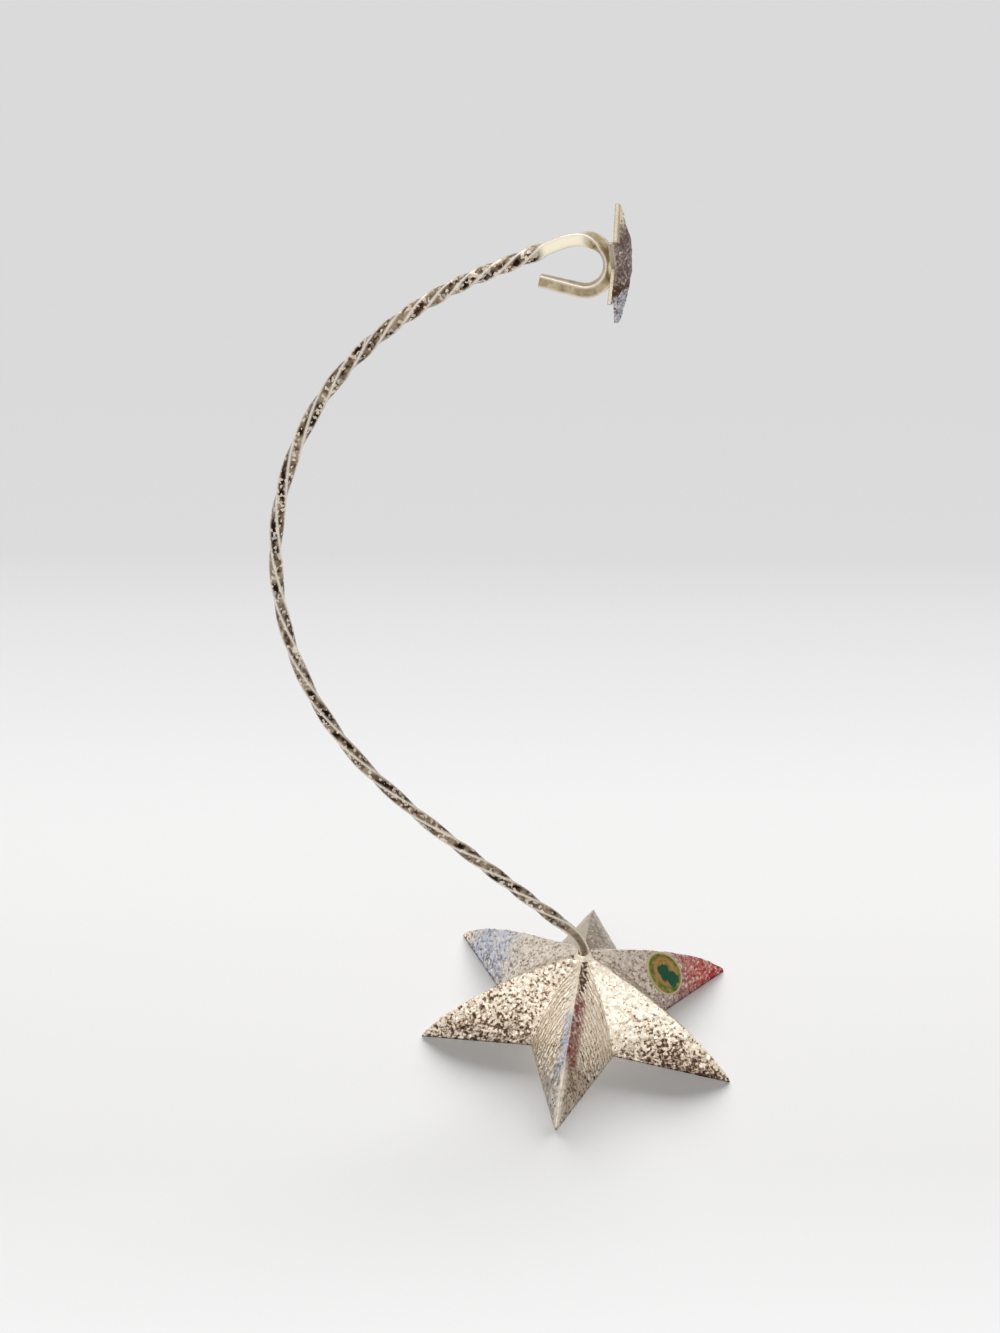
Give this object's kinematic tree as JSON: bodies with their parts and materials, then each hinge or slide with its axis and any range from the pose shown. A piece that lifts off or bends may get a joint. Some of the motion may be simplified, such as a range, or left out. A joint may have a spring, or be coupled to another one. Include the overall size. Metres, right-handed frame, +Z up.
{
  "type": "ornament stand",
  "caption": "Table stand for a hanging ornament: a hollow hammered star base, a twisted square bar bent to a large C with a hook at its end, and a small star on the hook.",
  "frame": {"origin": "centre of the big star on the table", "axes": "+Z up; the bar's centre line lies in the XZ plane, the C bulges towards -X and the small star faces +X"},
  "size_m": [0.1416, 0.1009, 0.2373],
  "materials": {
    "hammered_star": "hammered sheet, warm nickel plate",
    "twisted_bar": "twisted square bar, warm nickel plate",
    "small_star": "hammered facets and a smooth edge, warm nickel plate",
    "braze": "smooth braze under the plate",
    "foil": "printed gold and green foil"
  },
  "bodies": {
    "root": {"star_base": "hammered_star", "arm": "twisted_bar", "hook_star": "small_star", "base_braze": "braze", "hook_braze": "braze", "foil_seal": "foil"}
  },
  "joints": []
}
